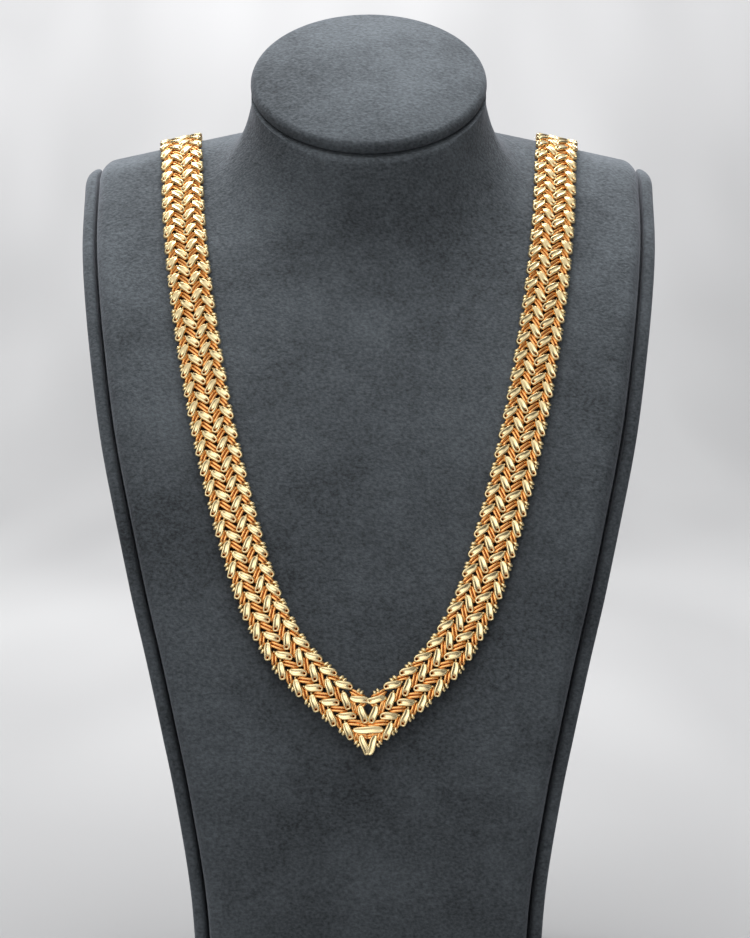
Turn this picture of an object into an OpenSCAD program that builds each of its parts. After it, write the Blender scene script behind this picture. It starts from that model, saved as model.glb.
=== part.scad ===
/* [Bust] */
// Width of the bust across its widest back edge
bust_w = 186.5; // [150:0.5:220]
// Height of the shoulder crest above the table
shoulder_h = 283.5; // [240:0.5:340]
// How far the shoulder crest lies behind the front of the chest
lean_d = 110; // [80:1:140]
// Depth of the back body behind the shoulder crest
back_d = 20; // [17:0.5:40]
// How far the back body stands out past the padded front on each side
strip_w = 5; // [2:0.1:8]
// Fall of the shoulder line for each millimetre outwards
shoulder_fall = 0.225; // [0.1:0.005:0.3]
// Length over which the fall starts, next to the neck
fall_round = 20; // [5:1:40]
// Width of the groove between the padded front and each side strip
groove_w = 1.2; // [0.5:0.1:2]
// Thickness of the padded front
panel_t = 13; // [8:0.5:18]
// Radius of the padded front's outer edge
panel_edge_r = 4; // [2:0.5:6]
// Radius of the back body's front edge
strip_r = 3; // [1:0.5:5]
// Radius of the back body's rear edge
rear_r = 6; // [2:0.5:9]
// Gap of the seam between the padded front and the back body
seam_gap = 0.8; // [0.3:0.1:2]

/* [Neck] */
// Width of the neck and of its cap
neck_w = 75.5; // [60:0.5:90]
// How far the middle of the neck lies in front of the shoulder crest
neck_set = 29; // [20:0.5:45]
// Height of the cap's middle above the shoulder crest
cap_rise = 10; // [2:0.5:60]
// Forward tilt of the cap
cap_tilt = 39; // [20:1:50]
// How much wider the foot of the neck is than the neck
neck_flare = 13; // [0:0.5:16]
// Thickness of the cap at its rim
cap_t = 4; // [2:0.5:8]
// Height of the cap's dome above its rim
cap_dome = 3; // [0.5:0.1:4]
// Radius of the cap's rim
cap_edge_r = 2.6; // [0.5:0.1:3]
// Gap between the neck and its cap
cap_gap = 0.4; // [0.2:0.1:1]

/* [Chain] */
// Width of the woven band
chain_w = 14; // [8:0.1:20]
// Thickness of the woven band over its raised links
chain_t = 2.6; // [1.6:0.1:4]
// Length of the band that one row of links takes
link_pitch = 6.27; // [4:0.01:9]
// Height that the links stand above the weave between them
link_relief = 0.9; // [0.2:0.1:1.2]
// Gap between the band and the bust
chain_gap = 0.4; // [0.2:0.1:1]

/* [Clasp] */
// Length of the clasp
clasp_l = 15; // [8:0.5:25]
// Height of the clasp, across the band
clasp_w = 11; // [6:0.5:14]
// Gap between the clasp and each end of the band
clasp_gap = 0.5; // [0.2:0.1:1]
// Radius of the clasp's corners
clasp_corner_r = 1.5; // [0.5:0.1:2.5]

/* [Hidden] */

// Middle line of the bust's front, from the table to the shoulder crest.
// Columns: height as a share of shoulder_h, depth as a share of lean_d,
// half width of the back body as a share of bust_w / 2
front_profile = [
    [0.000, 0.000, 0.536], [0.080, 0.000, 0.543], [0.175, 0.007, 0.563], [0.281, 0.023, 0.614],
    [0.351, 0.051, 0.658], [0.421, 0.091, 0.706], [0.495, 0.141, 0.761], [0.579, 0.202, 0.817],
    [0.663, 0.282, 0.871], [0.747, 0.382, 0.914], [0.828, 0.495, 0.950], [0.902, 0.632, 0.978],
    [0.967, 0.797, 0.993], [0.991, 0.891, 0.999], [1.000, 1.000, 0.997]
];
// The same line over the crest and down the back.
// Columns: height as a share of shoulder_h, depth behind the crest as a share of back_d
back_profile = [
    [0.995, 0.350], [0.980, 0.690], [0.954, 0.910], [0.915, 1.000], [0.830, 1.000], [0.720, 1.000],
    [0.600, 1.000]
];
// Route of the band's middle, from its point round to the clasp.
// Columns: place along the two profiles above, counted in rows; distance from
// the middle of the bust as a share of bust_w / 2
chain_route = [
    [4, 0.000], [4.55, 0.148], [5, 0.244], [5.5, 0.311], [6, 0.361], [7, 0.437], [8, 0.500],
    [9, 0.551], [10, 0.592], [11, 0.623], [12, 0.644], [13, 0.658], [14, 0.667], [15, 0.670],
    [16, 0.667], [17, 0.656], [18, 0.632], [18.5, 0.605], [19, 0.560], [19.55, 0.463],
    [19.98, 0.312], [20.2, 0.156], [20.26, 0.000]
];

crest = len(front_profile) - 1;
profile = concat(
    [for (r = front_profile) [r[0] * shoulder_h, r[1] * lean_d]],
    [for (r = back_profile) [r[0] * shoulder_h, lean_d + r[1] * back_d]]
);
half_widths = [for (r = front_profile) r[2] * bust_w / 2];
depth_mid = (lean_d + back_d + chain_gap + chain_t) / 2;
neck_r = neck_w / 2;
neck_y = lean_d - neck_set;
cap_h = shoulder_h + cap_rise;

// Point at t on a smooth curve through the points p; t counts the points
function spline(p, t) =
    let (n = len(p) - 1, i = min(max(floor(t), 0), n - 1), f = t - i)
    let (b = p[i], c = p[i + 1])
    let (a = i > 0 ? p[i - 1] : 2 * b - c, d = i + 2 <= n ? p[i + 2] : 2 * c - b)
    b + 0.5 * f * ((c - a) + f * ((2 * a - 5 * b + 4 * c - d) + f * (3 * b - a - 3 * c + d)));

// How far the shoulder line has fallen at x, on the level line of height z
function fall(x, z) =
    shoulder_fall * (sqrt(x * x + fall_round * fall_round) - fall_round) * pow(z / shoulder_h, 2);

// Place of a point from its distance out, depth and level before the fall
function place(x, depth, level) = [x, depth - depth_mid, level - fall(x, level)];

// Direction out of the bust on its middle line at t, as depth and height
function out_dir(t) =
    let (e = 0.02, a = spline(profile, max(t - e, 0)), b = spline(profile, t + e), d = b - a)
    (t == 0 ? [-1, 0] : [-d[0], d[1]] / norm(d));

// Point at x on the bust's skin at t, moved out by h
function skin(x, t, h) =
    let (q = spline(profile, t), n = out_dir(t))
    place(x, q[1] + h * n[0], q[0] + h * n[1]);

// Faces of a closed skin through rings of n points, wound clockwise from outside
function tube_faces(rings, n) = [
    for (k = [0:rings - 2], i = [0:n - 1])
        let (a = k * n + i, b = k * n + (i + 1) % n)
        each [[a, b + n, b], [a, a + n, b + n]]
];
// Faces that close a ring of n points that starts at point s, as a zip of its two halves
function cap_faces(s, n, flip) = [
    for (i = [0:n / 2 - 2])
        let (a = s + i, b = s + i + 1, c = s + n - 2 - i, d = s + n - 1 - i)
        each (flip ? [[a, c, b], [a, d, c]] : [[a, b, c], [a, c, d]])
];

corner_steps = 3;
face_steps = 8;
side_n = 2 * corner_steps + face_steps + 1;

// One side of a rounded section, left to right: half width w, corner radius r,
// as pairs of distance out and distance in from the side's face
function rounded_side(w, r) = concat(
    [for (i = [0:corner_steps]) let (a = 90 * i / corner_steps) [-w + r * (1 - cos(a)), r * (1 - sin(a))]],
    [for (i = [1:face_steps - 1]) [(w - r) * (2 * i / face_steps - 1), 0]],
    [for (i = [corner_steps:-1:0]) let (a = 90 * i / corner_steps) [w - r * (1 - cos(a)), r * (1 - sin(a))]]
);
function backwards(p) = [for (i = [len(p) - 1:-1:0]) p[i]];

// Places along the front's profile at which the bust's sections lie
row_steps = concat([for (t = [0:1:3]) t], [for (t = [4:0.5:crest]) t]);
panel_back_r = 1.5;

module padded_front() {
    pts = [
        for (t = row_steps)
            let (w = spline(half_widths, t) - strip_w)
            each concat(
                [for (p = rounded_side(w, panel_edge_r)) skin(p[0], t, -p[1])],
                [for (p = backwards(rounded_side(w, panel_back_r))) skin(p[0], t, p[1] - panel_t)]
            )
    ];
    n = 2 * side_n;
    rings = len(row_steps);
    polyhedron(pts, concat(
        tube_faces(rings, n), cap_faces(0, n, false), cap_faces((rings - 1) * n, n, true)
    ), convexity = 4);
}

neck_steps = 36;
neck_rings = 9;
neck_sink = 2;
neck_inset = 1;
skin_levels = [for (t = [2:0.25:crest]) let (q = spline(profile, t)) [q[1], q[0]]];
cap_dir = [0, -sin(cap_tilt), cos(cap_tilt)];
cap_middle = [0, neck_y - depth_mid, cap_h];

// Height of a plane square to the cap's axis, h above the cap's middle, at depth y
function cap_plane(y, h) = cap_h + h / cos(cap_tilt) + (y - neck_y) * tan(cap_tilt);

module neck_column() {
    neck_d = neck_r * cos(cap_tilt);
    pts = [
        for (k = [0:neck_rings - 1], i = [0:neck_steps - 1])
            let (f = pow(k / (neck_rings - 1), 1.5), a = 360 * i / neck_steps)
            let (front = max(-sin(a), 0), flare = neck_flare * pow(1 - f, 2 + front))
            let (x = (neck_r - neck_inset + flare) * cos(a), y = neck_y + (neck_d - neck_inset) * sin(a) - flare * front)
            let (level = lookup(y, skin_levels), low = level - fall(x, level) - neck_sink)
            [x, y - depth_mid, low + f * (cap_plane(y, -cap_t - cap_gap) - low)]
    ];
    n = neck_steps;
    top = (neck_rings - 1) * n;
    polyhedron(pts, concat(
        tube_faces(neck_rings, n), cap_faces(0, n, false), cap_faces(top, n, true)
    ), convexity = 4);
}

module bust_front() {
    color("dimgray") {
        padded_front();
        neck_column();
    }
}

wall_y = lean_d - panel_t * out_dir(crest)[0] + seam_gap;
shoulder_corner_r = 14;
roll_rows = len(back_profile) - 3;
roll_depths = [for (t = [crest + roll_rows:-0.25:crest + 0.25]) let (q = spline(profile, t)) q];

// Level sheets that the back body is lofted through, from the table up.
// Each row: level, front depth, rear depth, half width
function seam_sheet(t) =
    let (q = spline(profile, t), n = out_dir(t), h = -panel_t - seam_gap)
    let (level = q[0] + h * n[1])
    [level, q[1] + h * n[0], lookup(level, roll_depths), spline(half_widths, t)];
function crown_sheet(t) =
    let (q = spline(profile, t), over = max(q[0] - shoulder_h + shoulder_corner_r, 0) / shoulder_corner_r)
    let (narrowing = shoulder_corner_r * (1 - sqrt(1 - over * over)))
    [q[0], wall_y, q[1], half_widths[crest] - narrowing];

// Side strip of the back body, up beside the padded front and over the crest.
// Columns: place along the two profiles, how far its face lies below the skin as a share of panel_t
strip_run = [
    [0, 0.50], [10, 0.46], [12.4, 0.31], [13.3, 0.20], [14, 0.16], [15, 0.27], [16, 0.58], [16.5, 0.82]
];
// Depth of the strip's root in the back body
strip_root = 4;

// Section of the strip, from its root up the groove, over and down its outer side.
// Its corners' radii are shares of its width b.
function strip_section(t) =
    let (w = spline(half_widths, min(t, crest)), top = -lookup(t, strip_run) * panel_t)
    let (b = strip_w - groove_w, inner = w - b, ri = 0.32 * b, ro = 0.6 * b, foot = -panel_t - seam_gap)
    concat(
        [[inner, foot - strip_root]],
        [for (a = [0, 45, 90]) [inner + ri * (1 - cos(a)), top - ri * (1 - sin(a))]],
        [for (a = [90, 60, 30, 0]) [w - ro * (1 - cos(a)), top - ro * (1 - sin(a))]],
        [[w, foot], [w - ro, foot - strip_root]]
    );

// The strip's sections lie between those of the back body, so that no edges of the two cross
strip_steps = concat([0], [for (t = [0.7:1:10.7]) t], [for (t = [11.3:0.5:16.3]) t]);

module side_strip() {
    steps = strip_steps;
    sections = [for (t = steps) [for (p = strip_section(t)) skin(p[0], t, p[1])]];
    n = len(sections[0]);
    polyhedron([for (s = sections) each s], concat(
        tube_faces(len(steps), n), cap_faces(0, n, false), cap_faces((len(steps) - 1) * n, n, true)
    ), convexity = 4);
}

module back_body() {
    sheets = concat(
        [for (t = row_steps) if (t < crest) seam_sheet(t)],
        [for (t = [crest + 3:-0.5:crest + 0.5]) crown_sheet(t)]
    );
    pts = [
        for (s = sheets)
            let (r = min(strip_r, 0.45 * (s[2] - s[1])), rr = min(rear_r, 0.45 * (s[2] - s[1])))
            each concat(
                [for (p = rounded_side(s[3], r)) place(p[0], s[1] + p[1], s[0])],
                [for (p = backwards(rounded_side(s[3], rr))) place(p[0], s[2] - p[1], s[0])]
            )
    ];
    n = 2 * side_n;
    polyhedron(pts, concat(
        tube_faces(len(sheets), n), cap_faces(0, n, false), cap_faces((len(sheets) - 1) * n, n, true)
    ), convexity = 4);
}

module bust_back() {
    color("dimgray") {
        back_body();
        side_strip();
        mirror([1, 0, 0]) side_strip();
    }
}

dome_steps = 6;

module neck_cap() {
    rim = [for (a = [0:15:90]) [neck_r - cap_edge_r * (1 - cos(a)), -cap_edge_r * (1 - sin(a))]];
    flat_r = neck_r - cap_edge_r;
    dome = [for (i = [dome_steps - 1:-1:0]) let (f = i / dome_steps) [flat_r * f, cap_dome * (1 - f * f)]];
    color("dimgray")
        translate(cap_middle)
            rotate([cap_tilt, 0, 0])
                rotate_extrude($fn = 96)
                    polygon(concat([[0, -cap_t], [neck_r, -cap_t]], rim, dome));
}

route_end = len(chain_route) - 1;
route_step = 0.1;

// Surface place of the route at u, which counts the route's points
function route_at(u) = let (r = spline(chain_route, u)) [r[1] * bust_w / 2, r[0]];
function route_point(u) = let (r = route_at(u)) skin(r[0], r[1], chain_gap);

route_points = [for (u = [0:route_step:route_end]) route_point(u)];
// Pairs of length along the route and place on it
route_lengths = [
    for (i = 0, s = 0; i < len(route_points);
         s = s + (i + 1 < len(route_points) ? norm(route_points[i + 1] - route_points[i]) : 0), i = i + 1)
        [s, i * route_step]
];
half_length = route_lengths[len(route_lengths) - 1][0];
band_end = half_length - clasp_l / 2 - clasp_gap;
rows = round(band_end / link_pitch);
pitch = band_end / rows;

function route_u(s) = lookup(s, route_lengths);
function unit(v) = v / norm(v);
// Bust's normal below the band at length s from its point
function band_up(s) =
    let (r = route_at(route_u(s)), e = 0.05)
    let (across = skin(r[0] + e, r[1], 0) - skin(r[0] - e, r[1], 0))
    let (along = skin(r[0], r[1] + e, 0) - skin(r[0], r[1] - e, 0))
    unit(cross(across, along));
function band_along(s) = unit(route_point(route_u(s + 0.8)) - route_point(route_u(max(s - 0.8, 0))));

first_along = band_along(0);
first_side = cross(first_along, band_up(0));
// Length at which a line of the band, u out from its middle, meets the middle plane
function mitre(u) = -u * first_side[0] / first_along[0];
mitre_l = 5 * link_pitch;

// Place on the band: s along, u across towards its outer edge, h above its underside
function band_place(s, u, h) =
    let (run = s + mitre(u) * max(0, 1 - s / mitre_l), on = max(run, 0))
    let (up = band_up(on), along = band_along(on), side = cross(along, up))
    route_point(route_u(on)) + (run - on) * first_along + u * side + h * up;

band_columns = 4;
rings_per_row = 4;
// How far a link's end lies along the band from its middle, as a share of a row
link_slant = 0.37;
// Height of the weave where two columns meet, between no link, 0, and a link's top, 1
join_level = 0.5;
edge_drop = 0.3;

// Shift along the band of point j of the section, so that the grid follows the
// slanted links; it fades out over the first row and the last
function slant_shift(j, s) =
    let (fade = min(s, band_end - s) / pitch, side = j % 4 == 0 ? -1 : j % 4 == 2 ? 1 : 0)
    side * link_slant * pitch * min(fade, 1);
// Height of the band's top at point j of the section, counted from its inner edge
function band_top(j, s) =
    let (half_row = j % 4 == 1 ? 0.5 : 0)
    let (level = j % 2 == 1 ? 0.5 + 0.5 * cos(360 * (s / pitch + half_row)) : join_level)
    chain_t - link_relief * (1 - level) - (j == 0 || j == 2 * band_columns ? edge_drop : 0);

section_n = 2 * band_columns + 4;
function band_section(s, flip) = [
    for (i = [0:section_n - 1])
        let (top = i <= 2 * band_columns, j = top ? i : (section_n - 1 - i) * band_columns)
        let (u = (j / band_columns - 1) * chain_w / 2)
        let (p = band_place(s + slant_shift(j, s), u, top ? band_top(j, s) : 0))
        [(s == 0 ? 0 : flip ? -p[0] : p[0]), p[1], p[2]]
];

module chain() {
    m = rows * rings_per_row;
    sections = [for (i = [-m:m]) band_section(abs(i) * pitch / rings_per_row, i < 0)];
    n = section_n;
    last = 2 * m * n;
    color("gold")
        polyhedron([for (s = sections) each s], concat(
            tube_faces(2 * m + 1, n),
            [for (i = [-1:n - 4]) [n - 2, (i + n) % n, i + 1]],
            [for (i = [-1:n - 4]) [last + n - 2, last + i + 1, last + (i + n) % n]]
        ), convexity = 6);
}

module clasp() {
    r = clasp_corner_r;
    color("gold")
        translate(band_place(half_length, 0, chain_t / 2))
            rotate([90, 0, 0]) {
                cube([clasp_l, clasp_w - 2 * r, chain_t], center = true);
                cube([clasp_l - 2 * r, clasp_w, chain_t], center = true);
                for (x = [-1, 1], y = [-1, 1])
                    translate([x * (clasp_l / 2 - r), y * (clasp_w / 2 - r), 0])
                        cylinder(r = r, h = chain_t, center = true, $fn = 48);
            }
}

bust_front();
bust_back();
neck_cap();
chain();
clasp();
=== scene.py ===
import math

import bpy
import numpy as np
from bpy.props import FloatProperty, FloatVectorProperty, PointerProperty
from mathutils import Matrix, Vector


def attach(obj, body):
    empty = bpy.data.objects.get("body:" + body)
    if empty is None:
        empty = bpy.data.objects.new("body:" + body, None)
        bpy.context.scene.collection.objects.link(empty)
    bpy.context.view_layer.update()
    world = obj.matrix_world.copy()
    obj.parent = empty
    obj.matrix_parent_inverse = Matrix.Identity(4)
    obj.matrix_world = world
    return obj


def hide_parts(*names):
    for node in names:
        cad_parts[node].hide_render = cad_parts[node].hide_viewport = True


bl_info = {
    "name": "Woven chain on a neck bust",
    "version": (1, 0, 0),
    "blender": (4, 5, 0),
    "location": "View3D > Sidebar > Chain bust",
    "description": "Builds a suede neck bust and a woven flat gold chain around the packed frame",
    "category": "Add Mesh",
}

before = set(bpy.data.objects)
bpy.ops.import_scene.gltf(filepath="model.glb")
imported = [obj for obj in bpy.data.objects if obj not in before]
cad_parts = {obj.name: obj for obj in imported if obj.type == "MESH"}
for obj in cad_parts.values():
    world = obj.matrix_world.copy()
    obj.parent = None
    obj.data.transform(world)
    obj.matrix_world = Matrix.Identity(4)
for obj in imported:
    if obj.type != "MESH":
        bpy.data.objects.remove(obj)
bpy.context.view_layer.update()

# Sizes in millimetres, as in the part's source
MM = 0.001
BUST_W = 186.5
SHOULDER_H = 283.5
LEAN_D = 110.0
BACK_D = 20.0
STRIP_W = 5.0
GROOVE_W = 1.2
SHOULDER_FALL = 0.225
FALL_ROUND = 20.0
PANEL_T = 13.0
PANEL_EDGE_R = 4.0
PANEL_BACK_R = 1.5
STRIP_R = 3.0
REAR_R = 6.0
SEAM_GAP = 0.8
SHOULDER_CORNER_R = 14.0
STRIP_ROOT = 4.0
NECK_W = 75.5
NECK_Y = 81.0
NECK_INSET = 1.0
CAP_H = 293.5
CAP_TILT = math.radians(39.0)
CAP_T = 4.0
CAP_DOME = 3.0
CAP_EDGE_R = 2.6
CAP_GAP = 0.4
CHAIN_T = 2.6
LINK_PITCH = 6.27
CHAIN_GAP = 0.4
CLASP_L = 15.0
CLASP_W = 11.0
CLASP_GAP = 0.5
CLASP_CORNER_R = 1.5

# Sizes in millimetres that only this file has
CREST_ROLL = 3.0
DOME_POWER = 2.6
CAP_FOOT_R = 0.9
NECK_REAR_SET = 0.6
NECK_TUCK = 0.1
NECK_ROOT = 4
FOOT_LIFT = 0.02
FOOT_SINK = 0.9
CLASP_EDGE_R = 0.35
# The clasp's groove: how far in from its rim it runs, and its height over the outer face
CLASP_GROOVE = ((0.9, 0.0), (1.05, -0.12), (1.3, -0.12), (1.45, 0.0))

# Shares: of NECK_INSET that the neck is set in at its sides, of the neck's section that its sunk
# root has, of the back body's depth that a corner takes at most, and of the strip's width that its
# inner and its outer upper corner take
SIDE_INSET = 0.3
ROOT_SHARE = 0.9
CORNER_SHARE = 0.45
STRIP_INNER_R = 0.32
STRIP_OUTER_R = 0.6
# Rows before the crest in which the front's sections lie closer
FINE_ROWS = 0.6

# Height as a share of SHOULDER_H, depth as a share of LEAN_D, half width as a share of BUST_W / 2
FRONT_PROFILE = np.array([
    [0.000, 0.000, 0.536], [0.080, 0.000, 0.543], [0.175, 0.007, 0.563], [0.281, 0.023, 0.614],
    [0.351, 0.051, 0.658], [0.421, 0.091, 0.706], [0.495, 0.141, 0.761], [0.579, 0.202, 0.817],
    [0.663, 0.282, 0.871], [0.747, 0.382, 0.914], [0.828, 0.495, 0.950], [0.902, 0.632, 0.978],
    [0.967, 0.797, 0.993], [0.991, 0.891, 0.999], [1.000, 1.000, 0.997],
])
# Height as a share of SHOULDER_H, depth behind the crest as a share of BACK_D
BACK_PROFILE = np.array([
    [0.995, 0.350], [0.980, 0.690], [0.954, 0.910], [0.915, 1.000], [0.830, 1.000], [0.720, 1.000],
    [0.600, 1.000],
])
# Place along both profiles in rows, how far the side strip's face lies below the skin as a share of PANEL_T
STRIP_RUN = np.array([
    [0, 0.50], [10, 0.46], [12.4, 0.31], [13.3, 0.20], [14, 0.16], [15, 0.27], [16, 0.58], [16.5, 0.82],
])
# Place along both profiles in rows, distance from the middle as a share of BUST_W / 2
CHAIN_ROUTE = np.array([
    [4, 0.000], [4.55, 0.148], [5, 0.244], [5.5, 0.311], [6, 0.361], [7, 0.437], [8, 0.500],
    [9, 0.551], [10, 0.592], [11, 0.623], [12, 0.644], [13, 0.658], [14, 0.667], [15, 0.670],
    [16, 0.667], [17, 0.656], [18, 0.632], [18.5, 0.605], [19, 0.560], [19.55, 0.463],
    [19.98, 0.312], [20.2, 0.156], [20.26, 0.000],
])

# Foot of the neck from its rear, 0, to its front, 1: reach, climb, bend up and bend out in mm
NECK_FOOT = np.array([
    [0.00, 0.3, 1.0, 0.0, 0.0], [0.10, 3.0, 7.0, 1.5, 0.3], [0.25, 12.0, 15.0, 5.5, 1.8],
    [0.50, 16.0, 21.0, 9.5, 2.2], [0.75, 14.0, 19.0, 4.5, 1.2], [1.00, 12.0, 18.0, 0.0, 0.0],
])

CREST = len(FRONT_PROFILE) - 1
PROFILE = np.concatenate([
    FRONT_PROFILE[:, :2] * [SHOULDER_H, LEAN_D],
    BACK_PROFILE * [SHOULDER_H, BACK_D] + [0, LEAN_D],
])
HALF_WIDTHS = FRONT_PROFILE[:, 2:] * BUST_W / 2
DEPTH_MID = (LEAN_D + BACK_D + CHAIN_GAP + CHAIN_T) / 2
NECK_R = NECK_W / 2


# Curves and skins


def spline(points, t):
    """Smooth curve through the points at t, which counts them. Between two points it is the cubic
    whose slope at each is half the step from the point before to the point after. The first and
    the last point have a neighbour straight on."""
    t = np.asarray(t, float)
    n = len(points) - 1
    i = np.clip(np.floor(t).astype(int), 0, n - 1)
    f = (t - i)[..., None]
    b = points[i]
    c = points[i + 1]
    a = np.where((i > 0)[..., None], points[np.maximum(i - 1, 0)], 2 * b - c)
    d = np.where((i + 2 <= n)[..., None], points[np.minimum(i + 2, n)], 2 * c - b)
    return b + 0.5 * f * ((c - a) + f * ((2 * a - 5 * b + 4 * c - d) + f * (3 * b - a - 3 * c + d)))


def unit(v):
    """Vectors divided by their lengths."""
    return v / np.linalg.norm(v, axis=-1, keepdims=True)


def fall(x, level):
    """Drop of the shoulder line: SHOULDER_FALL times the distance out, which FALL_ROUND rounds off
    at the middle as a hyperbola, times the square of the level's share of SHOULDER_H."""
    return SHOULDER_FALL * (np.hypot(x, FALL_ROUND) - FALL_ROUND) * (level / SHOULDER_H) ** 2


def place(x, depth, level):
    """Row-frame point of a distance out, a depth and a level before the shoulders' fall."""
    x, depth, level = np.broadcast_arrays(x, depth, level)
    return np.stack([x, depth - DEPTH_MID, level - fall(x, level)], -1)


def out_dir(t):
    """Direction out of the bust on its middle line at t, as depth and height: square to a short
    step along the profile, and straight forward at its foot."""
    t = np.asarray(t, float)
    step = 0.02
    d = spline(PROFILE, t + step) - spline(PROFILE, np.maximum(t - step, 0))
    n = unit(np.stack([-d[..., 0], d[..., 1]], -1))
    return np.where((t == 0)[..., None], np.array([-1.0, 0.0]), n)


def skin(x, t, h):
    """Point at x on the bust's skin at t, moved out by h along the middle line's normal."""
    q = spline(PROFILE, t)
    n = out_dir(t)
    return place(x, q[..., 1] + h * n[..., 0], q[..., 0] + h * n[..., 1])


# The front's profile in fine steps, without its first row, along which the depth stands still
ROW_STEPS = 40
FRONT_POINTS = spline(PROFILE, np.linspace(0, CREST, CREST * ROW_STEPS + 1))[ROW_STEPS:]


def skin_height(x, depth):
    """Height of the front's skin at x and a depth: its profile's level there, less the fall."""
    level = np.interp(depth, FRONT_POINTS[:, 1], FRONT_POINTS[:, 0])
    return level - fall(x, level)


def ring_quads(rings, n):
    """Faces of a skin through rings of n points each."""
    k, i = np.meshgrid(np.arange(rings - 1), np.arange(n), indexing="ij")
    a = k * n + i
    b = k * n + (i + 1) % n
    return np.stack([a, b, b + n, a + n], -1).reshape(-1, 4)


def zip_quads(start, n):
    """Faces that close a ring of n points, as a zip of its two halves."""
    i = np.arange(n // 2 - 1)
    return start + np.stack([i, n - 1 - i, n - 2 - i, i + 1], -1)


def outward(points, faces):
    """The faces, turned if the skin's signed volume is negative. The volume's sign is that of the
    sum of the triple products of the corners of all the triangles, two to a four-sided face."""
    p = points[faces]
    volume = np.einsum("ij,ij->", p[:, 0], np.cross(p[:, 1], p[:, 2]))
    if faces.shape[1] == 4:
        volume += np.einsum("ij,ij->", p[:, 0], np.cross(p[:, 2], p[:, 3]))
    return faces if volume > 0 else faces[:, ::-1]


def tube_faces(k, n):
    """Faces of a skin through k rings of n points each, zipped shut at both ends."""
    return np.concatenate([ring_quads(k, n), zip_quads(0, n), zip_quads((k - 1) * n, n)[:, ::-1]])


def closed_rings(rings):
    """Points and outward faces of a closed skin through rings (k, n, 3)."""
    points = rings.reshape(-1, 3)
    return points, outward(points, tube_faces(*rings.shape[:2]))


def joined(shells):
    """One list of points and one of faces from several."""
    starts = np.cumsum([0] + [len(p) for p, _ in shells[:-1]])
    points = np.concatenate([p for p, _ in shells])
    return points, np.concatenate([f + s for (_, f), s in zip(shells, starts)])


def mirrored(points, faces):
    """A shell and its mirror image in the middle plane."""
    return joined([(points, faces), (points * [-1, 1, 1], faces[:, ::-1])])


def make_object(name, points, faces, tone=None, sharp=None):
    """A mesh object from points in millimetres. Tone is a value for each point, for its colour, low where
    shade is painted in, and sharp the angle in degrees past which an edge isn't shaded smooth."""
    mesh = bpy.data.meshes.new(name)
    mesh.from_pydata((points * MM).tolist(), [], faces.tolist())
    mesh.shade_smooth()
    if sharp is not None:
        mesh.set_sharp_from_angle(angle=math.radians(sharp))
    if tone is not None:
        # The attribute carries the painted shade to the gold material
        attribute = mesh.attributes.new("tone", "FLOAT", "POINT")
        attribute.data.foreach_set("value", np.asarray(tone, np.float32))
    if mesh.validate():
        raise RuntimeError(name + " has a faulty face")
    made = bpy.data.objects.new(name, mesh)
    bpy.context.scene.collection.objects.link(made)
    return made


# The bust


def rounded_side(w, r, face_steps, arc_steps=8):
    """One side of a rounded section, left to right: half widths w (k,) and corner radius r (k,).

    Each corner is a quarter circle: from the side, where its inset is r, x moves in by r while
    the inset falls to nothing. Between the corners the inset is nothing.
    """
    w = w[:, None]
    r = r[:, None]
    a = np.linspace(0, math.pi / 2, arc_steps + 1)[None]
    corner_x = w - r * (1 - np.cos(a))
    corner_d = r * (1 - np.sin(a))
    flat = (w - r) * np.linspace(-1, 1, face_steps + 1)[None, 1:-1]
    x = np.concatenate([-corner_x, flat, corner_x[:, ::-1]], 1)
    return x, np.concatenate([corner_d, flat * 0, corner_d[:, ::-1]], 1)


def panel_shell():
    """The padded front, as sections square to its skin, from the table to the crest.

    A section's front side lies on the skin with corners of PANEL_EDGE_R, and its rear side
    PANEL_T below it with corners of PANEL_BACK_R. On the last stretch before the crest, as long
    as CREST_ROLL, the front side sinks and narrows as a quarter circle of that radius does, so
    that the edge rolls over.
    """
    finer = CREST - FINE_ROWS
    t = np.concatenate([np.linspace(0, finer, 100), np.linspace(finer, CREST, 26)[1:]])
    q = spline(PROFILE, t)
    run = np.concatenate([[0], np.cumsum(np.linalg.norm(np.diff(q, axis=0), axis=1))])
    near = np.clip(CREST_ROLL - (run[-1] - run), 0, CREST_ROLL)
    drop = CREST_ROLL - np.sqrt(CREST_ROLL ** 2 - near ** 2)
    w = spline(HALF_WIDTHS, t)[:, 0] - STRIP_W - drop
    fx, fd = rounded_side(w, np.full_like(w, PANEL_EDGE_R), 60)
    bx, bd = rounded_side(w, np.full_like(w, PANEL_BACK_R), 60)
    front = skin(fx, t[:, None], -fd - drop[:, None])
    back = skin(bx[:, ::-1], t[:, None], bd[:, ::-1] - PANEL_T)
    return closed_rings(np.concatenate([front, back], 1))


def cap_plane(depth, h):
    """Height of a plane square to the cap's axis, h above the cap's middle."""
    return CAP_H + h / math.cos(CAP_TILT) + (depth - NECK_Y) * math.tan(CAP_TILT)


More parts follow.
